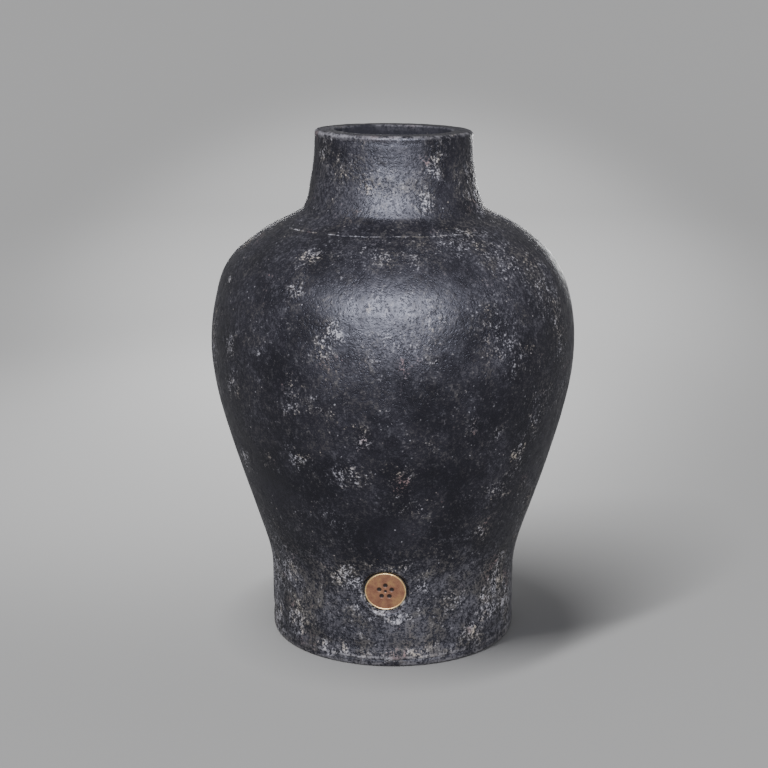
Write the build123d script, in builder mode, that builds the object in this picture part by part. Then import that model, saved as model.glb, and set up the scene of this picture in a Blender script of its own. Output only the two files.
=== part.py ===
from build123d import *

import os
from math import cos, radians, sin

# Wide-mouthed stoneware sake jar with a round two-metal badge let into its foot.
# Three thrown sections are luted to each other with slip: a foot with the floor in it, the
# belly, and the neck with the top of the shoulder. Millimetres, +Z up, the origin on the
# axis in the plane that the jar stands on. The badge faces -Y.

# Heights
jar_height = 320.0
shoulder_joint_height = 264.0
foot_joint_height = 70.0
slip_thickness = 0.6

# Outside of the wall, as (radius, height), from the foot to the lip
foot_radius = 78.2
foot_edge_radius = 76.4
foot_edge_height = 2.6
foot_straight_top = 40.0
belly_template = [
    (80.5, 58.0),
    (87.2, 80.0),
    (97.1, 110.0),
    (107.4, 145.0),
    (113.1, 175.0),
    (113.7, 195.0),
    (111.2, 215.0),
    (106.0, 232.0),
    (96.7, 246.0),
    (82.5, 258.0),
]
neck_root = (58.5, 271.0)
neck_template = [(53.8, 280.0), (50.3, 295.0)]
neck_root_rounding = 5.0
shoulder_slope_at_neck = (-2, 1)
neck_slope_at_shoulder = (-1, 1.4)

# Lip
lip_outer_radius = 48.7
lip_edge_drop = 2.25
lip_outer_rounding = 2.2
lip_inner_rounding = 3.0

# Inside
wall_thickness = 10.5
foot_wall_thickness = 11.0
mouth_radius = 35.8
mouth_straight_bottom = 280.0
floor_top = 13.0
floor_corner_rounding = 10.0
inner_samples = 12
inner_share_end = 0.965

# Underside
foot_ring_width = 12.0
foot_recess_depth = 3.6
foot_recess_slope = 2.4

# Badge, pressed into a round pocket on the front of the foot
badge_height = 49.0
badge_lean = 8.0
badge_radius = 12.5
badge_setback = 0.6
cup_depth = 2.4
cup_floor = 0.5
cup_wall = 0.8
cup_rim_rounding = 0.3
inlay_thickness = 1.5
glue_thickness = 0.6
glue_bead_height = 1.3
pocket_clearance = 0.7
pocket_flare_start = 1.9
pocket_flare_angle = 42.0

# Blossom of round dimples struck into the badge's copper face
petal_count = 5
petal_radius = 1.25
petal_circle_radius = 3.5
blossom_centre_radius = 0.85
dimple_depth = 0.5

# A slip joint that is left proud of the wall, as on the shoulder
bead_radius = 0.55

pocket_radius = badge_radius + pocket_clearance
pocket_depth = badge_setback + cup_depth + glue_thickness
cut_reach = 2 * foot_radius


def belly_curve():
    """Outside of the wall from the straight foot to the root of the neck."""
    points = [(foot_radius, foot_straight_top), *belly_template, neck_root]
    return Spline(*points, tangents=[(0, 1), shoulder_slope_at_neck])


def inner_points(outer):
    """Points one wall inside the outer curve, from the foot to just under the neck."""
    points = []
    for step in range(1, inner_samples + 1):
        share = inner_share_end * step / inner_samples
        along = outer % share
        outward = Vector(along.Y, -along.X)
        points.append((outer @ share) - outward * wall_thickness)
    return points


def wall_slice(low, high):
    """Half section of the wall between two heights: radius along X, height along Y."""
    inner_foot_radius = foot_radius - foot_wall_thickness
    with BuildSketch() as half_section:
        with BuildLine():
            outer = belly_curve()
            Line((foot_radius, foot_straight_top), (foot_radius, foot_edge_height))
            Line((foot_radius, foot_edge_height), (foot_edge_radius, 0))
            ring_inner_radius = foot_edge_radius - foot_ring_width
            recess_radius = ring_inner_radius - foot_recess_slope
            Line((foot_edge_radius, 0), (ring_inner_radius, 0))
            Line((ring_inner_radius, 0), (recess_radius, foot_recess_depth))
            Line((recess_radius, foot_recess_depth), (0, foot_recess_depth))
            Line((0, foot_recess_depth), (0, floor_top))
            corner_start = inner_foot_radius - floor_corner_rounding
            corner_end = (inner_foot_radius, floor_top + floor_corner_rounding)
            Line((0, floor_top), (corner_start, floor_top))
            RadiusArc((corner_start, floor_top), corner_end, -floor_corner_rounding)
            Line(corner_end, (inner_foot_radius, foot_straight_top))
            Spline(
                (inner_foot_radius, foot_straight_top),
                *inner_points(outer),
                (mouth_radius, mouth_straight_bottom),
                tangents=[(0, 1), (0, 1)],
            )
            Line((mouth_radius, mouth_straight_bottom), (mouth_radius, jar_height))
            Line((mouth_radius, jar_height), (lip_outer_radius, jar_height))
            lip_edge = (lip_outer_radius, jar_height - lip_edge_drop)
            Line((lip_outer_radius, jar_height), lip_edge)
            neck_slopes = [neck_slope_at_shoulder, (0, 1)]
            Spline(neck_root, *neck_template, lip_edge, tangents=neck_slopes)
        make_face()
        corners = half_section.vertices()
        fillet(corners.sort_by_distance((*neck_root, 0))[0], neck_root_rounding)
        corners = half_section.vertices()
        lip_inner_corner = corners.sort_by_distance((mouth_radius, jar_height, 0))[0]
        fillet(lip_inner_corner, lip_inner_rounding)
        corners = half_section.vertices()
        lip_outer_corner = corners.sort_by_distance((lip_outer_radius, jar_height, 0))[0]
        fillet(lip_outer_corner, lip_outer_rounding)
        with Locations((foot_radius, (low + high) / 2)):
            Rectangle(2 * foot_radius, high - low, mode=Mode.INTERSECT)
    return half_section.sketch


def outer_radius_at(height):
    """Radius of the outside of the wall at one height of the foot or belly."""
    with BuildLine() as outside:
        belly_curve()
    level = Edge.make_line((0, height), (2 * foot_radius, height))
    return outside.edge().intersect(level).vertices()[0].X


def export(part, name):
    part.label = name
    export_step(part, f"parts/{name}.step")


os.makedirs("parts", exist_ok=True)

shoulder_joint_top = shoulder_joint_height + slip_thickness
foot_joint_top = foot_joint_height + slip_thickness

# The badge's plane touches the wall on the front of the foot and leans with it.
badge_face_centre = (0, -outer_radius_at(badge_height), badge_height)
badge_facing = (0, -cos(radians(badge_lean)), -sin(radians(badge_lean)))
badge_plane = Plane(origin=badge_face_centre, x_dir=(1, 0, 0), z_dir=badge_facing)
pocket_floor = badge_plane.offset(-pocket_depth)
cup_underside = pocket_floor.offset(glue_thickness)

# Foot: floor, foot ring and the lowest part of the wall, with the badge's pocket
with BuildPart() as foot_section:
    with BuildSketch(Plane.XZ):
        add(wall_slice(0, foot_joint_height))
    revolve(axis=Axis.Z)
    with BuildSketch(pocket_floor):
        Circle(pocket_radius)
    extrude(amount=cut_reach, mode=Mode.SUBTRACT)
    with BuildSketch(badge_plane.offset(-pocket_flare_start)):
        Circle(pocket_radius)
    extrude(amount=2 * pocket_flare_start, taper=-pocket_flare_angle, mode=Mode.SUBTRACT)
export(foot_section.part, "foot_section")

# Slip between foot and belly, wiped flush
with BuildPart() as foot_slip_joint:
    with BuildSketch(Plane.XZ):
        add(wall_slice(foot_joint_height, foot_joint_top))
    revolve(axis=Axis.Z)
export(foot_slip_joint.part, "foot_slip_joint")

# Belly
with BuildPart() as belly_section:
    with BuildSketch(Plane.XZ):
        add(wall_slice(foot_joint_top, shoulder_joint_height))
    revolve(axis=Axis.Z)
export(belly_section.part, "belly_section")

# Slip between belly and neck, with the thin bead that stands proud on the shoulder
with BuildPart() as shoulder_slip_joint:
    with BuildSketch(Plane.XZ):
        add(wall_slice(shoulder_joint_height, shoulder_joint_top))
        bead_height = shoulder_joint_height + slip_thickness / 2
        with Locations((outer_radius_at(bead_height), bead_height)):
            Ellipse(bead_radius, slip_thickness / 2)
    revolve(axis=Axis.Z)
export(shoulder_slip_joint.part, "shoulder_slip_joint")

# Neck, lip and the top of the shoulder
with BuildPart() as neck_section:
    with BuildSketch(Plane.XZ):
        add(wall_slice(shoulder_joint_top, jar_height))
    revolve(axis=Axis.Z)
export(neck_section.part, "neck_section")

# Glue under the badge, with the bead squeezed up round it
with BuildPart() as badge_glue:
    with BuildSketch(pocket_floor):
        Circle(pocket_radius)
    extrude(amount=glue_thickness)
    with BuildSketch(cup_underside):
        Circle(pocket_radius)
        Circle(badge_radius, mode=Mode.SUBTRACT)
    extrude(amount=glue_bead_height)
export(badge_glue.part, "badge_glue")

# Brass cup whose rim shows as a thin ring
with BuildPart() as badge_cup:
    with BuildSketch(cup_underside):
        Circle(badge_radius)
    extrude(amount=cup_depth)
    with BuildSketch(cup_underside.offset(cup_floor)):
        Circle(badge_radius - cup_wall)
    extrude(amount=cup_depth, mode=Mode.SUBTRACT)
    rim_edges = badge_cup.edges().group_by(Axis(badge_face_centre, badge_facing))[-1]
    fillet(rim_edges, cup_rim_rounding)
export(badge_cup.part, "badge_cup")

# Copper inlay, struck with a blossom of dimples
with BuildPart() as badge_inlay:
    with BuildSketch(cup_underside.offset(cup_floor)):
        Circle(badge_radius - cup_wall)
    extrude(amount=inlay_thickness)
    with BuildSketch(cup_underside.offset(cup_floor + inlay_thickness - dimple_depth)):
        with PolarLocations(petal_circle_radius, petal_count, start_angle=90):
            Circle(petal_radius)
        Circle(blossom_centre_radius)
    extrude(amount=2 * dimple_depth, mode=Mode.SUBTRACT)
export(badge_inlay.part, "badge_inlay")
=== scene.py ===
import bisect
import math
import random

import bmesh
import bpy
import numpy as np
from mathutils import Matrix, Vector, geometry, kdtree, noise


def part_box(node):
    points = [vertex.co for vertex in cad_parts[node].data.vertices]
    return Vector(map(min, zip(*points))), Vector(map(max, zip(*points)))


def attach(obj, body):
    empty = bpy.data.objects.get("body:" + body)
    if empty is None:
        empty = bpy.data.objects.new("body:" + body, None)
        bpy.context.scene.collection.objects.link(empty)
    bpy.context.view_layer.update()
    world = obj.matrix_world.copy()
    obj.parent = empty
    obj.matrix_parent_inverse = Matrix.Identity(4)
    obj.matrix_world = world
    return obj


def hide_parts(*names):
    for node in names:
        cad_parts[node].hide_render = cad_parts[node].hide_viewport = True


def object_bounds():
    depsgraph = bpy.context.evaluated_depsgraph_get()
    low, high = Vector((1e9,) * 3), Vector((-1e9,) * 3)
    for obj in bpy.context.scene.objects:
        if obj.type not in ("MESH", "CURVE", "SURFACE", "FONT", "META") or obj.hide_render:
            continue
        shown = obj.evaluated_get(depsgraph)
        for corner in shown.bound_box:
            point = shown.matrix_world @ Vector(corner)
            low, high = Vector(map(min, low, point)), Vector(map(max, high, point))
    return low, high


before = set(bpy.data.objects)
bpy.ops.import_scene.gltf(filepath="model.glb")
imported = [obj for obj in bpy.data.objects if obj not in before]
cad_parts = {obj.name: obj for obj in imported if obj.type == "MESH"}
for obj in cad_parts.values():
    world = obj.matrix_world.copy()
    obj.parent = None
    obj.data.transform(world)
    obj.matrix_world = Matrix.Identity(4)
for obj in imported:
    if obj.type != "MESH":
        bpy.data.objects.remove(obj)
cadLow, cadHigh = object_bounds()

# Sizes in the dictionaries are in millimetres and degrees. Turns are counted from the badge
# towards +X, so the badge is at 0 and the jar's right side at 90.
mm = 0.001
random.seed(41)
noise.seed_set(41)    # noise_vector starts from the clock without it


# ---- small helpers

def fade(value, start, end):    # 0 at start, 1 at end, soft at both
    share = min(max((value - start) / (end - start), 0), 1)
    return share * share * (3 - 2 * share)


def evenly(points, step):    # the same line with its points about one step apart
    lengths = [0]
    for start, end in zip(points, points[1:]):
        lengths.append(lengths[-1] + (end - start).length)
    count = max(round(lengths[-1] / step), 1)
    line = []
    for index in range(count + 1):
        target = lengths[-1] * index / count
        at = min(max(bisect.bisect(lengths, target), 1), len(points) - 1)
        share = (target - lengths[at - 1]) / (lengths[at] - lengths[at - 1])
        line.append(points[at - 1].lerp(points[at], share))
    return line


def curveThrough(points, step):    # a soft curve, because the frame's walls are flat facets
    ends = [points[0]] + points + [points[-1]]
    line = []
    for before, start, end, after in zip(ends, points, points[1:], ends[3:]):
        reach = (end - start).length / 3
        leave = start + (end - before).normalized() * reach
        arrive = end - (after - start).normalized() * reach
        line += geometry.interpolate_bezier(start, leave, arrive, end, 12)[:-1]
    return evenly(line + [points[-1]], step)


def arc(centreRadius, centreHeight, size, fromAngle, toAngle, pieces):
    line = []
    for index in range(pieces + 1):
        angle = math.radians(fromAngle + (toAngle - fromAngle) * index / pieces)
        across = centreRadius + size * math.cos(angle)
        line.append(Vector((across, 0, centreHeight + size * math.sin(angle))))
    return line


def dot(radius, height):    # a point of a half section, given in millimetres
    return Vector((radius * mm, 0, height * mm))


# ---- the wall's line, read off the frame on the side away from the badge

clayBoxes = {name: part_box(name) for name in ("foot_section", "belly_section", "neck_section")}
footHigh = clayBoxes["foot_section"][1]
bellyLow, bellyHigh = clayBoxes["belly_section"]
neckLow = clayBoxes["neck_section"][0]
jarHeight = cadHigh.z

jar = {
    "steps": 512,           # round the jar
    "wallStep": 1.45,       # between rings of the belly's outside
    "fineStep": 1.25,       # between rings of the foot and neck
    "boreStep": 2.4,        # between rings inside the mouth
    "hiddenStep": 14,       # between rings that nobody sees
    "lineStep": 0.4,
    "sharpAngle": 38,       # edges bent more than this look crisp
    "edgeTop": 5.6,         # below this is the foot's edge
    "lipBottom": 315.9,     # above this is the lip
}


def radiusAt(height, inside=False):
    for name, (low, high) in clayBoxes.items():
        if low.z < height < high.z:
            start = Vector((0 if inside else 1, 0, height))
            way = Vector((1 if inside else -1, 0, 0))
            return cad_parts[name].ray_cast(start, way)[1].x


def wallLine(heights, inside=False):
    points = [Vector((radiusAt(height * mm, inside), 0, height * mm)) for height in heights]
    return curveThrough(points, jar["lineStep"] * mm)


edgeOfBox = 0.2 * mm    # keeps a reading clear of the plane where two sections meet
outside = wallLine([6, 22, *range(38, 250, 9), *range(251, 300, 3), 304, 310, 316])
outsideHeights = [point.z for point in outside]
bore = wallLine([*range(272, 284, 3), 300, 316], inside=True)
hollow = wallLine([*range(24, 258, 9), 258, 261, 263, 268, 271, 274], inside=True)
baseRadius = radiusAt(0.3 * mm) / mm
footRadius = radiusAt(20 * mm) / mm
lipRadius = radiusAt(315 * mm)
mouthRadius = radiusAt(300 * mm, inside=True)
footBore = radiusAt(footHigh.z - edgeOfBox, inside=True)
bellyFootBore = radiusAt(bellyLow.z + edgeOfBox, inside=True)
bellyShoulderBore = radiusAt(bellyHigh.z - edgeOfBox, inside=True)
neckBore = radiusAt(neckLow.z + edgeOfBox, inside=True)
footMiddle = Vector((0, 0, 45 * mm))    # the floor and its rounded corner are read from here
floorLine = []
for angle in range(-90, 1, 9):
    way = Vector((math.cos(math.radians(angle)), 0, math.sin(math.radians(angle))))
    floorLine.append(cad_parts["foot_section"].ray_cast(footMiddle, way)[1])


def wallPoint(height):
    at = min(max(bisect.bisect(outsideHeights, height), 1), len(outside) - 1)
    low, high = outside[at - 1], outside[at]
    return low.lerp(high, (height - low.z) / (high.z - low.z))


def wallBetween(low, high, step):    # the outside, upwards
    first = bisect.bisect(outsideHeights, low)
    last = bisect.bisect_left(outsideHeights, high)
    return evenly([wallPoint(low)] + outside[first:last] + [wallPoint(high)], step)


def hollowBetween(high, low, step):    # the inside, downwards
    between = [point for point in reversed(hollow) if low < point.z < high]
    return evenly(between, step)


def wallFacing(place):    # which way the outside faces at a place
    at = min(max(bisect.bisect(outsideHeights, place.z), 3), len(outside) - 4)
    along = outside[at + 3] - outside[at - 3]
    turn = math.atan2(place.y, place.x)
    return Vector((along.z * math.cos(turn), along.z * math.sin(turn), -along.x)).normalized()


# ---- the badge's own axes: along X, up the face, and out of it

def badgeAxes(node):
    low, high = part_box(node)
    centre = (low + high) / 2
    between = 0.52 * (high.x - low.x) / 2    # between the middle and the rim, clear of the dimples
    start = Vector((centre.x + between, -1, centre.z))
    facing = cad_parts["badge_inlay"].ray_cast(start, Vector((0, 1, 0)))[2]
    right = Vector((1, 0, 0))
    up = facing.cross(right)
    radius = (high.x - low.x) / 2
    lean = math.asin(-facing.z)
    thickness = ((high.y - low.y) - 2 * radius * math.sin(lean)) / math.cos(lean)
    axes = Matrix((right, up, facing)).transposed().to_4x4()
    axes.translation = centre + facing * thickness / 2
    return axes, radius, thickness    # the origin is in the middle of the outer face


cupAxes, cupRadius, cupDepth = badgeAxes("badge_cup")
inlayAxes, inlayRadius, inlayThickness = badgeAxes("badge_inlay")
glueAxes, pocketRadius, glueDepth = badgeAxes("badge_glue")
badgeCentre = cupAxes.translation
print("frame read: jar", round(jarHeight / mm), "mm high, badge at", round(badgeCentre.z / mm), "mm")


# ---- unevenness of hand work

hand = {
    "wander": 0.45,         # the wall is out of round by this much
    "wanderSize": 75,
    "dents": 0.13,
    "dentSize": 17,
    "rings": 0.05,          # throwing rings
    "ringsAtShoulder": 0.11,
    "ringSize": 3.6,
    "lipTilt": 0.012,       # the lip is lower on the right
    "neckShift": 0.45,
    "shoulderSlump": 1.7,   # the left shoulder falls away below the neck's root
    "leftBulge": 0.9,       # and the wall under it stands out
    "edgeNicks": 0.14,      # on the lip and the foot's edge
    "edgeWaves": 0.25,
    "quietRing": (17, 27),  # from the badge: the wall is smooth nearer than this, uneven beyond
    "insideRings": 0.35,
    "underRings": 0.12,     # turning marks under the foot
    "pitsInChalk": 0.45,    # the share of pits that gather where the chalk is
    "pits": 1150,
    "pitRadius": (1.3, 2.9),
    "pitDepth": (0.16, 0.42),
}

# Patches where chalky residue stays in the clay: turn, height, half width, half height, strength.
# Below zero the wax lies thick and the residue is covered. The exception is the patch at turn 180 on
# the lip, which is painted shade at the back of the mouth's inner arc.
chalkPatches = [
    (-95, 319, 26, 4, 0.9), (-50, 319.5, 16, 2, 0.5), (60, 319.5, 12, 2, 0.5), (180, 316, 70, 7, -0.8),
    (-54, 309, 8, 9, 0.5), (-33, 298, 12, 9, 0.3), (-7, 317, 16, 2.5, 0.35), (-12, 292, 6, 5, 0.6),
    (33, 303, 6, 8, 0.9), (26, 281, 6, 5, 0.9), (60, 292, 22, 18, -0.8), (4, 289, 18, 9, 0.4),
    (-30, 254, 8, 4, 0.9), (-29, 236, 4, 7, 0.9), (37, 261, 20, 7, 0.7), (52, 247, 22, 9, 0.55),
    (60, 228, 14, 16, 0.45), (37, 220, 17, 15, 0.35), (1, 257, 28, 5, 0.5), (-15, 218, 7, 5, 0.9),
    (0, 230, 5, 6, 0.7), (15, 226, 12, 8, 0.6), (44, 196, 14, 8, 0.4), (-52, 226, 16, 14, -0.3),
    (3, 204, 22, 11, 0.5), (-54, 199, 9, 6, 0.8), (-55, 175, 8, 7, 0.9), (-40, 198, 4, 5, 0.8),
    (-17, 204, 7, 8, 0.75), (-28, 174, 5, 11, 0.7), (-21, 173, 5, 6, 0.9), (-16, 167, 3, 3, 1.0),
    (-6, 154, 5, 8, 1.0), (-61, 125, 9, 6, 0.8), (-28, 138, 8, 5, 0.9), (-42, 130, 7, 4, 0.6),
    (14, 199, 5, 4, 0.8), (24, 178, 5, 3, 0.8), (28, 157, 4, 5, 1.0), (38, 153, 3, 3, 0.8),
    (49, 133, 7, 11, 1.0), (54, 152, 7, 10, 0.8), (58, 112, 5, 7, 0.8), (38, 203, 13, 9, 0.6),
    (15, 147, 6, 5, 0.5), (57, 169, 10, 12, 0.5), (66, 205, 9, 20, 0.65), (70, 170, 9, 18, 0.55),
    (64, 236, 9, 8, 0.4), (-72, 190, 10, 24, 0.9), (-11, 128, 12, 7, 0.8), (6, 128, 8, 8, 0.8),
    (11, 110, 6, 6, 0.4), (40, 87, 9, 6, 0.75), (4, 104, 9, 5, 0.3), (2, 91, 16, 11, -0.7),
    (-46, 110, 16, 12, -0.7), (-20, 97, 6, 6, 0.6), (44, 112, 9, 7, 0.8), (-50, 53, 12, 7, 0.9),
    (-18, 53, 9, 7, 0.75), (-46, 23, 10, 16, 1.0), (-26, 8, 14, 4, 0.8), (58, 44, 11, 16, 1.0),
    (50, 27, 7, 10, 0.8), (72, 30, 14, 22, 0.7), (-70, 35, 14, 22, 0.5), (33, 40, 9, 8, 0.6),
    (41, 17, 10, 6, 0.9), (6, 32, 11, 5, 0.5), (7, 8, 34, 3, 0.7), (59, 61, 8, 5, 0.6),
    (-20, 61, 9, 5, 0.9), (3, 65, 12, 3, 0.7), (17, 54, 5, 8, 0.8), (3, 34, 14, 4, 0.8),
    (-14, 37, 4, 5, 0.8), (-12, 52, 3, 8, 0.6),
]
dustByHeight = [
    (0, 1.0), (50, 0.95), (62, 0.7), (78, 0.25), (115, 0.0), (150, 0.05), (205, 0.15), (240, 0.25),
    (262, 0.25), (272, 0.42), (305, 0.45), (320, 0.3),
]
unseenPatches = 95    # on the sides and the back, from the seed
for _ in range(unseenPatches):
    turn = random.uniform(68, 300)
    height = random.choice((random.uniform(8, 70), random.uniform(70, 205), random.uniform(200, 316)))
    size = random.uniform(4, 18)
    chalkPatches.append((turn, height, size, size * random.uniform(0.5, 1.3), random.uniform(0.45, 1)))

pits = []
for _ in range(hand["pits"]):
    height = random.uniform(5, 314) * mm
    turn = math.radians(random.uniform(0, 360))
    if random.random() < hand["pitsInChalk"]:
        patch = random.choice(chalkPatches)
        height = (patch[1] + random.gauss(0, patch[3] * 0.6)) * mm
        turn = math.radians(patch[0] + random.gauss(0, patch[2] * 0.35)) - math.pi / 2
    height = min(max(height, 5 * mm), 314 * mm)
    across = wallPoint(height).x
    place = Vector((across * math.cos(turn), across * math.sin(turn), height))
    size = random.uniform(*hand["pitRadius"]) * mm
    pits.append((place, size, random.uniform(*hand["pitDepth"]) * mm))
pitFinder = kdtree.KDTree(len(pits))
for index, pit in enumerate(pits):
    pitFinder.insert(pit[0], index)
pitFinder.balance()


def pitAt(place):    # how deep a pit is at a place, 0 outside the pits
    _, index, distance = pitFinder.find(place)
    size, depth = pits[index][1:]
    if distance >= size:
        return 0
    return depth * (1 - (distance / size) ** 2) ** 2


def unevenness(place, quiet):    # how far the outside stands proud there; at quiet 0 it is true
    height = place.z / mm
    amount = hand["wander"] * noise.noise(place / (hand["wanderSize"] * mm))
    amount += hand["dents"] * noise.noise(place / (hand["dentSize"] * mm) + Vector((7, 3, 1)))
    shoulder = fade(height, 225, 255) * (1 - fade(height, 284, 300))
    ringDepth = hand["rings"] + (hand["ringsAtShoulder"] - hand["rings"]) * shoulder
    ringPlace = Vector((place.x / 0.11, place.y / 0.11, place.z / (hand["ringSize"] * mm)))
    amount += ringDepth * noise.noise(ringPlace)
    return amount * quiet * mm - pitAt(place) * quiet


def lean(place):    # slow changes of shape that the whole wall follows
    height = place.z / mm
    aroundNeck = fade(height, 262, 300)
    shift = Vector((hand["neckShift"] * aroundNeck * mm, 0, -hand["lipTilt"] * place.x * aroundNeck))
    left = max(-place.x / max(place.xy.length, mm), 0) ** 2
    slump = fade(height, 240, 268) * (1 - fade(height, 271, 292)) * left
    shift.x += hand["shoulderSlump"] * slump * mm
    bulge = fade(height, 215, 240) * (1 - fade(height, 244, 260)) * left
    shift.x -= hand["leftBulge"] * bulge * mm
    return shift


# ---- building the clay sections

def spinRound(shape, steps, weld):    # turns a half section right round and closes the seam
    bmesh.ops.spin(
        shape, geom=shape.verts[:] + shape.edges[:], cent=(0, 0, 0), axis=(0, 0, 1),
        angle=2 * math.pi, steps=steps, use_merge=True,
    )
    bmesh.ops.remove_doubles(shape, verts=shape.verts, dist=weld)
    bmesh.ops.recalc_face_normals(shape, faces=shape.faces)


def turned(stretches, closed):    # a ring or bowl of clay; each stretch is (points, inside)
    shape = bmesh.new()
    insideMark = shape.verts.layers.float.new("inside")
    line = []
    for points, inside in stretches:
        for point in points:
            if line and (point - line[-1].co).length < 0.03 * mm:
                continue
            corner = shape.verts.new(point)
            corner[insideMark] = inside
            line.append(corner)
    for start, end in zip(line, line[1:]):
        shape.edges.new((start, end))
    if closed:
        shape.edges.new((line[-1], line[0]))
    spinRound(shape, jar["steps"], 0.005 * mm)
    return shape


def shapeByHand(shape):    # moves every point as the potter's hands would have
    insideMark = shape.verts.layers.float["inside"]
    shape.normal_update()
    moves = []
    for corner in shape.verts:
        place = corner.co.copy()
        height = place.z / mm
        quiet = fade((place - badgeCentre).length / mm, *hand["quietRing"])
        if corner[insideMark] > 0.5:
            turn = math.atan2(place.y, place.x)
            spiral = place.z / (7 * mm) + turn / (2 * math.pi)
            ring = Vector((place.x / 0.2, place.y / 0.2, spiral))
            depth = hand["insideRings"] * noise.noise(ring) * fade(height, 3.7, 16)
            if height < 4:
                around = Vector((place.xy.length / (2.2 * mm), turn * 0.4, 5))
                depth = hand["underRings"] * noise.noise(around)
            move = corner.normal * (depth * mm)
        elif height > jar["lipBottom"] or height < jar["edgeTop"]:
            rough = hand["edgeNicks"] * noise.noise(place / (5 * mm))
            rough += hand["edgeWaves"] * noise.noise(place / (14 * mm))
            atLip = height > jar["lipBottom"]
            keep = 1 if atLip else fade(height, 0.2, 5)
            move = corner.normal * (rough * mm * keep)
            if atLip:
                wander = hand["wander"] * noise.noise(place / (hand["wanderSize"] * mm)) * mm
                move += Vector((place.x, place.y, 0)).normalized() * wander
        else:
            blend = fade(height, jar["edgeTop"], 12) * (1 - fade(height, 312, jar["lipBottom"]) * 0.4)
            move = wallFacing(place) * unevenness(place, quiet * blend)
        moves.append(move + lean(place))
    for corner, move in zip(shape.verts, moves):
        corner.co += move


def markChalk(mesh):    # where the residue stays, as a number on every point
    count = len(mesh.vertices)
    places = np.empty(count * 3)
    mesh.vertices.foreach_get("co", places)
    places = places.reshape(-1, 3) / mm
    warp = [noise.noise_vector(Vector(place) / 9) for place in places]
    small = [noise.noise_vector(Vector(place) / 3.5) for place in places]
    places += np.array(warp) * 6 + np.array(small) * 2.2
    across = np.hypot(places[:, 0], places[:, 1])
    turns = np.degrees(np.arctan2(places[:, 0], -places[:, 1]))
    bare = np.ones(count)
    softEdge = 1.45    # a patch fades out over its edge
    for turn, height, halfWidth, halfHeight, strength in chalkPatches:
        aside = (turns - turn + 180) % 360 - 180
        aside = np.radians(aside) * across / (halfWidth * softEdge)
        above = (places[:, 2] - height) / (halfHeight * softEdge)
        patch = np.clip(1 - aside ** 2 - above ** 2, 0, 1)
        bare *= 1 - strength * patch
    chalk = 1 - bare
    mesh.attributes.new("chalk", "FLOAT", "POINT").data.foreach_set("value", chalk)
    dust = np.interp(places[:, 2], *zip(*dustByHeight))
    mesh.attributes.new("dust", "FLOAT", "POINT").data.foreach_set("value", dust)


def markWear(mesh, edges):    # edges are (radius, height, reach), rubbed bare by use
    wear = []
    for corner in mesh.vertices:
        across = math.hypot(corner.co.x, corner.co.y)
        most = 0
        for radius, height, reach in edges:
            away = math.hypot(across / mm - radius, corner.co.z / mm - height)
            most = max(most, 1 - away / reach)
        wear.append(max(most, 0))
    mesh.attributes.new("wear", "FLOAT", "POINT").data.foreach_set("value", wear)


def finished(name, shape, finish, node, slot, wornEdges=()):
    mesh = bpy.data.meshes.new(name)
    shape.to_mesh(mesh)
    shape.free()
    mesh.shade_smooth()
    mesh.set_sharp_from_angle(angle=math.radians(jar["sharpAngle"]))
    piece = bpy.data.objects.new(name, mesh)
    bpy.context.scene.collection.objects.link(piece)
    mesh.materials.append(finish)
    if slot in ("black_clay", "slip"):
        markChalk(mesh)
    if slot == "black_clay":
        markWear(mesh, wornEdges)
    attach(piece, "root")
    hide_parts(node)
    triangles = sum(len(face.vertices) - 2 for face in mesh.polygons)
    print("made", name, "with", triangles, "triangles")


# ---- materials

class Feed:    # one socket of a node tree; sums written with it add Math nodes
    def __init__(self, tree, socket=None):
        self.tree = tree
        self.socket = socket

    def node(self, kind, settings=None, inputs=None, output=0):
        made = self.tree.nodes.new(kind)
        for name, value in (settings or {}).items():
            if name == "stops":
                stops = made.color_ramp.elements
                while len(stops) < len(value):
                    stops.new(0.5)
                for stop, (position, colour) in zip(stops, value):
                    stop.position = position
                    stop.color = colour
            else:
                setattr(made, name, value)
        for name, value in (inputs or {}).items():
            if isinstance(value, Feed):
                self.tree.links.new(value.socket, made.inputs[name])
            else:
                made.inputs[name].default_value = value
        return Feed(self.tree, made.outputs[output])

    def maths(self, operation, *values):
        return self.node("ShaderNodeMath", {"operation": operation}, dict(enumerate(values)))

    def __add__(self, other):
        return self.maths("ADD", self, other)

    def __sub__(self, other):
        return self.maths("SUBTRACT", self, other)

    def __rsub__(self, other):
        return self.maths("SUBTRACT", other, self)

    def __mul__(self, other):
        return self.maths("MULTIPLY", self, other)

    __radd__ = __add__
    __rmul__ = __mul__

    def step(self, start, end):    # 0 below start, 1 above end
        limits = {"Value": self, "From Min": start, "From Max": end}
        return self.node("ShaderNodeMapRange", {"interpolation_type": "SMOOTHSTEP"}, limits)

    def grain(self, size, detail=2, rough=0.5, stretch=None):    # noise, size in millimetres
        place = self
        if stretch:
            place = self.node("ShaderNodeMapping", None, {"Vector": self, "Scale": stretch})
        inputs = {"Vector": place, "Scale": 1 / (size * mm), "Detail": detail, "Roughness": rough}
        return self.node("ShaderNodeTexNoise", None, inputs)

    def paint(self, under, over):    # over shows where this mask is 1
        inputs = {0: self, 6: under, 7: over}
        return self.node("ShaderNodeMix", {"data_type": "RGBA"}, inputs, output=2)


def newFinish(name):
    finish = bpy.data.materials.new(name)
    finish.use_nodes = True
    tree = finish.node_tree
    body = tree.nodes["Principled BSDF"]
    return finish, Feed(tree), body


def plug(feed, body, name):
    feed.tree.links.new(feed.socket, body.inputs[name])


def bump(height, body, distance):
    inputs = {"Height": height, "Distance": distance * mm, "Strength": 1}
    plug(height.node("ShaderNodeBump", None, inputs), body, "Normal")


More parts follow.
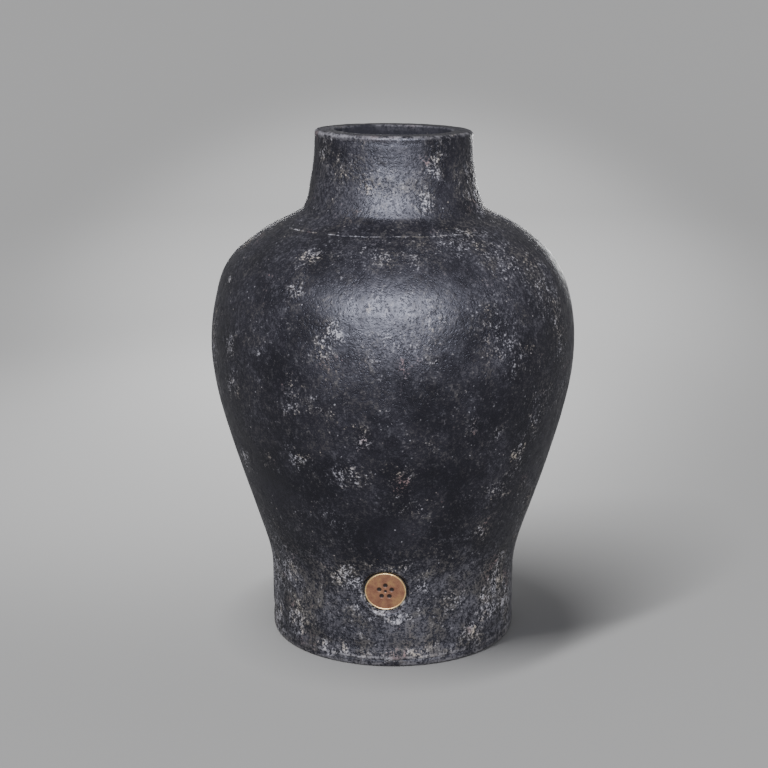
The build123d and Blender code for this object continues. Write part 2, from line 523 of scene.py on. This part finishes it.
clayLook = {
    "deepBlack": (0.0052, 0.0049, 0.0066, 1),
    "waxedBlack": (0.0130, 0.0121, 0.0154, 1),
    "dryGrey": (0.054, 0.052, 0.056, 1),
    "dryBrown": (0.056, 0.051, 0.044, 1),
    "chalkGrey": (0.290, 0.281, 0.288, 1),
    "chalkCream": (0.300, 0.261, 0.206, 1),
    "ironPink": (0.170, 0.108, 0.102, 1),
    "wornEdge": (0.105, 0.100, 0.102, 1),
}


def clayFinish(name, slip=0.0):
    finish, tree, body = newFinish(name)
    place = tree.node("ShaderNodeTexCoord", output="Object")
    chalk = tree.node("ShaderNodeAttribute", {"attribute_name": "chalk"}, output="Fac")
    dust = tree.node("ShaderNodeAttribute", {"attribute_name": "dust"}, output="Fac")
    wear = tree.node("ShaderNodeAttribute", {"attribute_name": "wear"}, output="Fac")
    inside = tree.node("ShaderNodeAttribute", {"attribute_name": "inside"}, output="Fac")
    inside = inside.step(0, 0.5)

    drift = place.grain(30, 3, 0.55)
    blotch = place.grain(8, 3, 0.6)
    coarse = place.grain(2.6, 2, 0.6, stretch=(1, 1, 0.75))
    fine = place.grain(1.35, 2, 0.6)
    speck = place.grain(0.85, 1, 0.5)

    # how open and dry the surface is: in patches, and everywhere a little
    dry = chalk * 0.45 + dust * 0.6 + drift.step(0.44, 0.66) * 0.25 + blotch.step(0.48, 0.7) * 0.25
    if slip:
        dry = dry + place.grain(16, 2, 0.6).step(0.47, 0.62) * slip
    mottle = speck * 0.20 + fine * 0.40 + coarse * 0.40
    filled = (mottle + (blotch - 0.5) * 0.14 - dry * 0.03).step(0.385, 0.455)
    # Open pits where the wax did not fill; further down they are painted near black, which is painted
    # shade in the pits.
    shadedPits = (1 - filled) * (dry * 0.8 + 0.35)
    opened = (mottle + dry * 0.07).step(0.505, 0.61)
    clump = place.grain(4.6, 2, 0.6, stretch=(1, 1, 0.7))
    sparse = fine * 0.38 + speck * 0.17 + coarse * 0.23 + clump * 0.22 + chalk * 0.085 + dust * 0.015
    flecks = sparse.step(0.578, 0.678)
    cells = place.node("ShaderNodeTexVoronoi", None, {"Vector": place, "Scale": 1 / (5.2 * mm)})
    lone = (1 - cells.step(0.07, 0.14)) * drift.step(0.36, 0.58)

    waxed = (drift * 0.5 + mottle * 0.5).step(0.40, 0.62)
    black = waxed.paint(clayLook["deepBlack"], clayLook["waxedBlack"])
    brown = place.grain(19, 2, 0.5).step(0.44, 0.60)
    dusty = brown.paint(clayLook["dryGrey"], clayLook["dryBrown"])
    # Inside the jar the dry grey is mostly left out. Partly this is bare clay without residue, and
    # partly it is painted shade inside the mouth.
    ground = (opened * (dry * 0.9 + 0.1) * (1 - inside * 0.9)).paint(black, dusty)
    warm = place.grain(13, 2, 0.5).step(0.5, 0.68)
    residue = warm.paint(clayLook["chalkGrey"], clayLook["chalkCream"])
    pink = place.grain(21, 1, 0.5).step(0.58, 0.68)
    residue = pink.paint(residue, clayLook["ironPink"])
    marks = flecks * (chalk * 0.7 + dust * 0.12 + 0.27) + lone * speck.step(0.4, 0.62) * 0.6
    # Fewer flecks inside the jar, which is partly painted shade inside the mouth.
    marks = marks * (1 - inside * 0.8)
    colour = marks.paint(ground, residue)
    rubbed = wear * (mottle * 0.6 + blotch * 0.4 + chalk * 0.05).step(0.42, 0.58)
    worn = (chalk * 0.8).paint(clayLook["wornEdge"], residue)
    if slip:
        rubbed = wear * place.grain(6, 2, 0.6).step(0.42, 0.56) * fine.step(0.36, 0.5) * slip
        worn = residue
    colour = rubbed.paint(colour, worn)
    # Painted shade: the pits are painted near black.
    colour = (shadedPits * 0.75).paint(colour, clayLook["deepBlack"])
    plug(colour, body, "Base Color")

    roughness = 0.27 + blotch.step(0.35, 0.7) * 0.16 + drift.step(0.4, 0.65) * 0.08 + shadedPits * 0.12
    roughness = roughness + marks * 0.12 + inside * 0.6 + dust * 0.13
    plug(roughness, body, "Roughness")
    body.inputs["Specular Tint"].default_value = (0.90, 0.91, 1.0, 1)
    relief = mottle * (dry * 0.6 + 0.45) - shadedPits * 0.25 + marks * 0.10
    bump(relief, body, 0.55)
    return finish


blackClay = clayFinish("waxedBlackClay")
slipClay = clayFinish("drySlip", 0.8)


def copperFinish():
    finish, tree, body = newFinish("brownCopper")
    place = tree.node("ShaderNodeTexCoord", output="Object")
    cloud = place.grain(5, 3, 0.6)
    brushed = place.grain(0.5, 2, 0.6, stretch=(0.25, 1, 1))
    struck = tree.node("ShaderNodeAttribute", {"attribute_name": "struck"}, output="Fac")
    stops = [
        (0.34, (0.185, 0.082, 0.048, 1)),
        (0.5, (0.25, 0.12, 0.068, 1)),
        (0.68, (0.32, 0.175, 0.078, 1)),
    ]
    colour = cloud.node("ShaderNodeValToRGB", {"stops": stops}, {"Fac": cloud})
    colour = struck.paint(colour, (0.035, 0.025, 0.022, 1))    # dirt stays in the dimples
    plug(colour, body, "Base Color")
    plug(0.42 + brushed * 0.16 - struck * 0.1, body, "Roughness")
    body.inputs["Metallic"].default_value = 0.6
    bump(brushed, body, 0.03)
    return finish


def brassFinish():
    finish, tree, body = newFinish("badgeBrass")
    place = tree.node("ShaderNodeTexCoord", output="Object")
    cloud = place.grain(3, 2, 0.5)
    colour = cloud.step(0.4, 0.65).paint((0.95, 0.70, 0.34, 1), (0.82, 0.52, 0.23, 1))
    plug(colour, body, "Base Color")
    plug(0.26 + place.grain(0.9, 2, 0.5) * 0.2, body, "Roughness")
    body.inputs["Metallic"].default_value = 0.8
    bump(place.grain(0.7, 2, 0.5), body, 0.02)
    return finish


def glueFinish():
    finish, tree, body = newFinish("clearGlue")
    place = tree.node("ShaderNodeTexCoord", output="Object")
    cloud = place.grain(2.4, 2, 0.5)
    squeezed = tree.node("ShaderNodeAttribute", {"attribute_name": "squeezed"}, output="Fac")
    # Whitish dried glue where it was squeezed out, mostly on the lower side. This lighter colour also
    # stands in for the glints there, as a painted highlight.
    milkyGlueAndGlints = squeezed * cloud.step(0.42, 0.60)
    plug(milkyGlueAndGlints.paint((0.010, 0.0095, 0.010, 1), (0.26, 0.25, 0.24, 1)), body, "Base Color")
    plug(0.12 + cloud * 0.12, body, "Roughness")
    body.inputs["Coat Weight"].default_value = 0.6
    bump(cloud, body, 0.10)
    return finish


copper = copperFinish()
brass = brassFinish()
glue = glueFinish()
print("finishes mixed")


# ---- the foot, with the badge's pocket

foot = {
    "grooveHeight": 4.3,
    "grooveDepth": 0.3,
    "waistHeight": 12.5,    # a finger's width above the edge the wall is drawn in a little
    "waistDepth": 0.5,
    "waistReach": 2.6,
    "ringWidth": 12,
    "recessDepth": 3.6,
    "pocketPatch": 20,      # half side of the square of wall that the pocket is worked into
    "pocketPull": 0.62,     # how far the first rings are pulled in towards the pocket
    "wobble": 0.35,         # the pocket's edge was pressed by hand
    "ripple": 0.12,
    "smoothRadius": 13.4,   # inside this the pocket's wall is true
}
groove = foot["grooveHeight"]
standing = baseRadius - 0.6
footEdge = curveThrough([
    dot(footRadius, 5.8), dot(footRadius - 0.12, 5.1), dot(footRadius - foot["grooveDepth"], groove),
    dot(footRadius - 0.05, groove - 0.8), dot(footRadius - 0.15, 2.0), dot(footRadius - 0.55, 0.8),
    dot(footRadius - 1.1, 0.12), dot(standing - 0.6, 0),
], 0.42 * mm)
ringInside = baseRadius - foot["ringWidth"]
under = [
    dot(ringInside + 1, 0), dot(ringInside, 0.25), dot(ringInside - 1.8, foot["recessDepth"] - 0.5),
    dot(ringInside - 2.8, foot["recessDepth"]),
]
underside = evenly([under[-1], dot(0, foot["recessDepth"])], 1.5 * mm)
footWall = wallBetween(6 * mm, footHigh.z, jar["fineStep"] * mm)[::-1]
for point in footWall:
    away = (point.z / mm - foot["waistHeight"]) / foot["waistReach"]
    point.x -= foot["waistDepth"] * mm * math.exp(-away * away)
footShape = turned([
    (footWall, 0),
    (footEdge, 0),
    (under, 1),
    (underside, 1),
    (curveThrough(floorLine, jar["hiddenStep"] * mm), 1),
    (hollowBetween(footHigh.z, footMiddle.z + mm, jar["hiddenStep"] * mm)[::-1], 1),
    ([Vector((footBore, 0, footHigh.z))], 1),
    ([wallPoint(footHigh.z)], 0),
], False)


def wallOverBadge(right, up):    # how far out of the badge's face the wall is at a place on it
    out = 0
    for _ in range(6):    # comes closer each time
        place = cupAxes @ Vector((right, up, out))
        across = wallPoint(place.z).x
        out += (-math.sqrt(across * across - place.x * place.x) - place.y) / cupAxes.col[2].y
    return out


# The pocket's rings: radius in mm, how far the clay is pushed up, and how far down to the bottom
pocketRings = [
    (18.4, 0.06, 0), (17.3, 0.16, 0), (16.5, 0.34, 0), (15.9, 0.46, 0), (15.4, 0.46, 0),
    (15.0, 0.32, 0), (14.65, 0.05, 0), (14.35, -0.3, 0), (14.1, -0.75, 0), (13.85, -0.9, 0.12),
    (13.62, -0.9, 0.3), (13.45, -0.9, 0.5), (13.3, -0.9, 0.8), (13.25, -0.4, 0.96), (12.8, 0, 1),
    (9, 0, 1), (4, 0, 1),
]


def workPocket(shape):
    half = foot["pocketPatch"] * mm
    toBadge = cupAxes.inverted()
    patch = []
    for face in shape.faces:
        middle = face.calc_center_median()
        onWall = math.hypot(middle.x, middle.y) > (footRadius - 3) * mm and middle.z > 6 * mm
        local = toBadge @ middle
        if middle.y < 0 and onWall and abs(local.x) < half and abs(local.y) < half:
            patch.append(face)
    bmesh.ops.delete(shape, geom=patch, context="FACES")
    rim = [edge for edge in shape.edges if edge.is_boundary]
    floorOut = glueAxes.translation - cupAxes.translation
    floorOut = floorOut.dot(cupAxes.col[2].xyz) - glueDepth
    firstRadius = pocketRings[0][0]
    rings = [(None, 0, 0, share) for share in (0.3, 0.6, 0.85)]
    rings += [ring + (1,) for ring in pocketRings]
    for radius, raised, drop, share in rings:
        made = bmesh.ops.extrude_edge_only(shape, edges=rim)["geom"]
        rim = [item for item in made if isinstance(item, bmesh.types.BMEdge) and item.is_boundary]
        corners = {corner for edge in rim for corner in edge.verts}
        for corner in corners:
            local = toBadge @ corner.co
            angle = math.atan2(local.y, local.x)
            now = math.hypot(local.x, local.y)
            if radius is None:
                corner[shape.verts.layers.float["inside"]] = 0
                target = now + (firstRadius * mm - now) * share * foot["pocketPull"]
            else:
                target = radius * mm
            wobble = noise.noise(Vector((math.cos(angle), math.sin(angle), radius or 20)) * 1.3)
            ripple = noise.noise(Vector((math.cos(angle) * 4, math.sin(angle) * 4, 3)))
            if radius and radius > foot["smoothRadius"]:
                target += (wobble * foot["wobble"] + ripple * foot["ripple"]) * mm
            right, up = target * math.cos(angle), target * math.sin(angle)
            lift = raised * (1 + 0.5 * wobble + 0.35 * ripple) if raised > 0 else raised
            out = wallOverBadge(right, up) + lift * mm
            out += (floorOut - out) * drop
            corner.co = cupAxes @ Vector((right, up, out))
    bmesh.ops.contextual_create(shape, geom=rim)
    bmesh.ops.recalc_face_normals(shape, faces=shape.faces)


workPocket(footShape)
shapeByHand(footShape)
for corner in footShape.verts:    # nothing goes below what the jar stands on
    corner.co.z = max(corner.co.z, 0)
footWorn = [(footRadius - 0.3, 1.4, 1.9), (footRadius, jar["edgeTop"], 1.2)]
finished("footClay", footShape, blackClay, "foot_section", "black_clay", footWorn)


# ---- the belly, and the slip under and over it

slip = {
    "bead": 0.42,           # how proud the slip on the shoulder stands
    "beadSpread": 0.62,     # its half height, in thicknesses of the slip
    "proudTurn": -28.648,   # it was wiped away except about here
    "proudReach": 31.513,
}


def slipRing(low, high, lowBore, highBore, beadSize):    # as thick as the wall, with a bead outside
    middle = wallPoint((low + high) / 2)
    facing = wallFacing(middle)
    along = Vector((-facing.z, 0, facing.x))
    edge = [wallPoint(low)]
    if beadSize:
        for angle in range(-75, 76, 25):
            turn = math.radians(angle)
            proud = facing * (math.cos(turn) * beadSize * mm)
            edge.append(middle + proud + along * (math.sin(turn) * (high - low) * slip["beadSpread"]))
    edge.append(wallPoint(high))
    inner = [Vector((highBore, 0, high)), Vector((lowBore, 0, low))]
    shape = turned([(edge, 0), (inner, 1)], True)
    proudMark = shape.verts.layers.float.new("wear")
    for corner in shape.verts:
        proud = corner.co.xy.length - wallPoint(corner.co.z).x
        if proud > 0.02 * mm:
            turn = math.degrees(math.atan2(corner.co.x, -corner.co.y))
            off = (turn - slip["proudTurn"]) / slip["proudReach"]
            kept = 0.9 * noise.noise(corner.co / (24 * mm)) + 0.6 * noise.noise(corner.co / (4 * mm))
            kept = fade(kept + 1.2 * math.exp(-off * off), 0.35, 0.95)
            corner.co.xy *= 1 - proud * (1 - kept) / corner.co.xy.length
            corner[proudMark] = kept
    shapeByHand(shape)
    return shape


bellyShape = turned([
    (wallBetween(bellyLow.z, bellyHigh.z, jar["wallStep"] * mm), 0),
    ([Vector((bellyShoulderBore, 0, bellyHigh.z))], 1),
    (hollowBetween(bellyHigh.z - 3 * mm, bellyLow.z + 3 * mm, jar["hiddenStep"] * mm), 1),
    ([Vector((bellyFootBore, 0, bellyLow.z))], 1),
], True)
shapeByHand(bellyShape)
finished("bellyClay", bellyShape, blackClay, "belly_section", "black_clay")

footSlip = slipRing(footHigh.z, bellyLow.z, footBore, bellyFootBore, 0)
finished("footSlipLine", footSlip, blackClay, "foot_slip_joint", "slip")
shoulderSlip = slipRing(bellyHigh.z, neckLow.z, bellyShoulderBore, neckBore, slip["bead"])
finished("shoulderSlipLine", shoulderSlip, slipClay, "shoulder_slip_joint", "slip")


# ---- the neck and lip

lip = {
    "outerRounding": 2.5,
    "innerRounding": 1.5,
    "dish": 0.25,           # the land dips a little between its edges
    "grooveDrop": 4.4,      # a tool mark under the lip
    "grooveDepth": 0.28,
    "grooveReach": 0.8,
    "innerPoints": 6,       # the last points of the inner rounding belong half to the inside
}
outerCentre = lipRadius - lip["outerRounding"] * mm
innerCentre = mouthRadius + lip["innerRounding"] * mm
land = []
for share in (0.2, 0.4, 0.6, 0.8):
    across = outerCentre + (innerCentre - outerCentre) * share
    land.append(Vector((across, 0, jarHeight - lip["dish"] * mm * math.sin(math.pi * share))))
outerRounding, innerRounding = lip["outerRounding"] * mm, lip["innerRounding"] * mm
lipLine = arc(outerCentre, jarHeight - outerRounding, outerRounding, 0, 90, 8) + land
lipLine += arc(innerCentre, jarHeight - innerRounding, innerRounding, 90, 180, 8)
neckWall = wallBetween(neckLow.z, 316 * mm, jar["fineStep"] * mm)
for point in neckWall:
    away = (point.z / mm - (jarHeight / mm - lip["grooveDrop"])) / lip["grooveReach"]
    point.x -= lip["grooveDepth"] * mm * math.exp(-away * away)
boreLine = [point for point in reversed(bore) if point.z < jar["lipBottom"] * mm]
neckShape = turned([
    (neckWall, 0),
    (lipLine[:-lip["innerPoints"]], 0),
    (lipLine[-lip["innerPoints"]:], 0.5),
    (evenly(boreLine, jar["boreStep"] * mm), 1),
    (hollowBetween(boreLine[-1].z - mm, neckLow.z + 1.5 * mm, 2.5 * mm), 1),
    ([Vector((neckBore, 0, neckLow.z))], 1),
], True)
shapeByHand(neckShape)
lipWorn = [(lipRadius / mm - 0.7, 319.3, 2.2), (mouthRadius / mm + 0.9, 319.4, 1.4)]
finished("neckClay", neckShape, blackClay, "neck_section", "black_clay", lipWorn)


# ---- the badge: cup, inlay and glue, turned on the badge's own axis

def badgeTurned(line, steps):    # line is in mm: radius, and out from the outer face
    shape = bmesh.new()
    corners = [shape.verts.new(Vector((radius * mm, 0, out * mm))) for radius, out in line]
    for start, end in zip(corners, corners[1:]):
        shape.edges.new((start, end))
    spinRound(shape, steps, 0.002 * mm)
    return shape


cup = {"wall": 0.8, "floor": 0.5, "rimHeight": 0.34, "dings": 0.05, "dingSize": 2.2}
cupOuter, cupDeep = cupRadius / mm, cupDepth / mm
cupInner = cupOuter - cup["wall"]
rimCentre, rimHalf, rimHeight = cupOuter - cup["wall"] / 2, cup["wall"] / 2, cup["rimHeight"]
cupLine = [(0, -cupDeep), (cupOuter - 0.3, -cupDeep), (cupOuter - 0.05, -cupDeep + 0.1)]
cupLine += [(cupOuter, -cupDeep + 0.35), (cupOuter, -1.2), (cupOuter, -rimHeight)]
for angle in range(20, 161, 20):    # the rim is rolled over
    turn = math.radians(angle)
    cupLine.append((rimCentre + rimHalf * math.cos(turn), -rimHeight + rimHeight * math.sin(turn)))
cupLine += [(cupInner, -rimHeight), (cupInner, -cupDeep + cup["floor"]), (0, -cupDeep + cup["floor"])]
cupShape = badgeTurned(cupLine, 160)
for corner in cupShape.verts:
    if corner.co.z > -0.5 * mm:
        corner.co.z += cup["dings"] * mm * noise.noise(corner.co / (cup["dingSize"] * mm))
bmesh.ops.transform(cupShape, matrix=cupAxes, verts=cupShape.verts)
finished("badgeBrassCup", cupShape, brass, "badge_cup", "brass")

blossom = {
    "petals": 5,
    "petalRadius": 1.8,
    "circleRadius": 4.0,
    "heartRadius": 1.2,
    "depth": 0.45,
    "burr": 0.05,           # metal pushed up round a dimple
    "waves": 0.05,
}
face, thick = inlayRadius / mm, inlayThickness / mm
faceLine = [(face * index / 50, 0) for index in range(49)]
faceLine += [(face - 0.12, -0.02), (face, -0.12), (face, -thick), (0, -thick)]
inlayShape = badgeTurned(faceLine, 144)
struckMark = inlayShape.verts.layers.float.new("struck")
dimples = [(0, 0, blossom["heartRadius"])]
for petal in range(blossom["petals"]):
    turn = math.radians(90 + 360 / blossom["petals"] * petal)
    right, up = blossom["circleRadius"] * math.cos(turn), blossom["circleRadius"] * math.sin(turn)
    dimples.append((right, up, blossom["petalRadius"]))
for corner in inlayShape.verts:
    if corner.co.z < -0.5 * mm:
        continue
    spot = corner.co.xy / mm
    corner.co.z += blossom["waves"] * mm * noise.noise(corner.co / (4 * mm))
    for right, up, size in dimples:
        away = math.hypot(spot.x - right, spot.y - up) / size
        if away < 1.25:
            sunk = 1 - fade(away, 0.35, 1.02)
            burr = math.exp(-((away - 1.1) / 0.09) ** 2)
            corner.co.z += (blossom["burr"] * burr - blossom["depth"] * sunk) * mm
            corner[struckMark] = max(corner[struckMark], fade(sunk, 0.05, 0.5))
bmesh.ops.transform(inlayShape, matrix=inlayAxes, verts=inlayShape.verts)
finished("badgeCopperFace", inlayShape, copper, "badge_inlay", "copper")

bead = {"spread": 1.35, "climb": 1.05, "fall": 0.75, "lumps": 0.55, "smallLumps": 0.12}
pocket, glueDeep = pocketRadius / mm, glueDepth / mm
glueLine = [(0, -glueDeep), (pocket - 0.05, -glueDeep), (pocket - 0.02, -0.9), (pocket - 0.02, -0.1)]
glueLine += [(pocket - 0.2, 0), (pocket - 0.42, -0.02), (cupOuter + 0.05, 0.03)]
glueLine += [(cupOuter + 0.02, -0.4), (cupOuter + 0.02, -1.27), (0, -1.28)]
glueShape = badgeTurned(glueLine, 160)
squeezedMark = glueShape.verts.layers.float.new("squeezed")
for corner in glueShape.verts:
    if corner.co.z > -0.3 * mm:    # the top of the ring, pushed up and out below the badge
        turn = math.atan2(corner.co.y, corner.co.x)
        lump = noise.noise(Vector((math.cos(turn) * 3.2, math.sin(turn) * 3.2, 2)))
        smallLump = noise.noise(Vector((math.cos(turn) * 9, math.sin(turn) * 9, 7)))
        below = fade(-math.sin(turn + 0.2), -0.15, 0.75)
        squeezed = below * (0.75 + bead["lumps"] * lump) + bead["smallLumps"] * smallLump
        squeezed = max(squeezed, 0)
        outwards = fade(corner.co.xy.length / mm, cupOuter, pocket)
        rise = squeezed * (bead["climb"] - bead["fall"] * outwards * outwards)
        corner.co.z += rise * mm
        corner.co.xy *= 1 + squeezed * outwards * bead["spread"] / pocket
        corner[squeezedMark] = min(squeezed * 1.5, 1)
bmesh.ops.transform(glueShape, matrix=glueAxes, verts=glueShape.verts)
finished("badgeGlueBead", glueShape, glue, "badge_glue", "clear_glue")


# ---- studio

view = {
    "lens": 73.3,
    "turn": 3.4,            # a little to the right of the badge
    "away": 3.019,          # from the jar's axis, in jar heights
    "up": 1.2528,           # above the floor, in jar heights
    "tilt": 14.04,
    "shift": -0.0118,
    "nearest": 0.05,
}
viewTurn, viewTilt = math.radians(view["turn"]), math.radians(view["tilt"])
viewPlace = Vector((math.sin(viewTurn), -math.cos(viewTurn), 0)) * view["away"] * jarHeight
viewPlace.z = view["up"] * jarHeight
camera = bpy.data.objects.new("camera", bpy.data.cameras.new("camera"))
bpy.context.scene.collection.objects.link(camera)
bpy.context.scene.camera = camera
camera.data.lens = view["lens"]
camera.data.shift_x = view["shift"]
camera.data.clip_start = view["nearest"]
camera.location = viewPlace
camera.rotation_euler = (math.radians(90) - viewTilt, 0, viewTurn)

studio = {
    "floorRadius": 2.0,
    "sweep": 3.0,
    "sweepAngle": 42,       # the floor leans back where it ends
    "floorSteps": 96,
    "pale": (0.385, 0.385, 0.385, 1),
    "air": (0.25, 0.25, 0.26, 1),
    "airStrength": 1.0,
    "coolWhite": (0.88, 0.90, 1.0),
}


def facingFrom(turn, elevation):
    turn, elevation = math.radians(turn), math.radians(elevation)
    level = Vector((math.sin(turn), -math.cos(turn), 0)) * math.cos(elevation)
    return level + Vector((0, 0, math.sin(elevation)))


def floorFinish():
    finish, _, body = newFinish("paleFloor")
    body.inputs["Base Color"].default_value = studio["pale"]
    body.inputs["Roughness"].default_value = 0.95
    body.inputs["Specular IOR Level"].default_value = 0.1
    return finish


def sweepFloor():    # a round floor that curves up at its edge, the same from every side
    shape = bmesh.new()
    radius, sweep = studio["floorRadius"], studio["sweep"]
    line = [Vector((0, 0, 0))] + arc(radius, sweep, sweep, -90, studio["sweepAngle"] - 90, 24)
    corners = [shape.verts.new(point) for point in line]
    for start, end in zip(corners, corners[1:]):
        shape.edges.new((start, end))
    spinRound(shape, studio["floorSteps"], mm)
    mesh = bpy.data.meshes.new("studioFloor")
    shape.to_mesh(mesh)
    shape.free()
    mesh.shade_smooth()
    floor = bpy.data.objects.new("studioFloor", mesh)
    bpy.context.scene.collection.objects.link(floor)
    mesh.materials.append(floorFinish())
    floor.visible_glossy = False
    return floor


def lamp(name, kind, turn, elevation, away, strength, receivers, aim=None, **settings):
    light = bpy.data.lights.new(name, kind)
    light.energy = strength
    for setting, value in settings.items():
        setattr(light, setting, value)
    holder = bpy.data.objects.new(name, light)
    bpy.context.scene.collection.objects.link(holder)
    back = facingFrom(turn, elevation)
    holder.location = Vector(aim or (0, 0, jarHeight / 2)) + back * away
    holder.rotation_euler = back.to_track_quat("Z", "Y").to_euler()
    holder.visible_camera = False
    holder.light_linking.receiver_collection = receivers


def litTogether(name, pieces):    # the lamps given this collection light only its pieces
    together = bpy.data.collections.new(name)
    for piece in pieces:
        together.objects.link(piece)
    return together


clayPieces = ["footClay", "bellyClay", "neckClay", "footSlipLine", "shoulderSlipLine"]
badgePieces = ["badgeBrassCup", "badgeCopperFace", "badgeGlueBead"]
onFloor = litTogether("litByFloorLamps", [sweepFloor()])
onJar = litTogether("litByJarLamps", [bpy.data.objects[name] for name in clayPieces + badgePieces])

# The key throws the jar's shadow. The pools brighten the floor behind the jar and beside its foot.
softPool = {"spot_blend": 1, "shadow_soft_size": 0.1}
lamp("floorKey", "AREA", -42, 68.5, 12, 1600, onFloor, shape="RECTANGLE", size=0.8, size_y=10)
lamp("floorPoolFar", "SPOT", 3.4, 22, 6, 3300, onFloor, aim=(-0.08, 1.5, 0),
     spot_size=math.radians(12), **softPool)
lamp("floorPoolNear", "SPOT", 3.4, 58, 6, 1000, onFloor, aim=(-0.16, 0.42, 0),
     spot_size=math.radians(8.5), use_shadow=False, **softPool)
lamp("frontBox", "AREA", 1.5, 33, 1.6, 78, onJar, shape="RECTANGLE", size=1.5, size_y=0.8,
     color=studio["coolWhite"])
lamp("backBox", "AREA", 178, 0, 1.6, 9, onJar, shape="RECTANGLE", size=1.1, size_y=0.26)

world = bpy.data.worlds.new("studioAir")
bpy.context.scene.world = world
world.use_nodes = True
air = world.node_tree.nodes["Background"]
air.inputs["Color"].default_value = studio["air"]
air.inputs["Strength"].default_value = studio["airStrength"]
print("studio set")
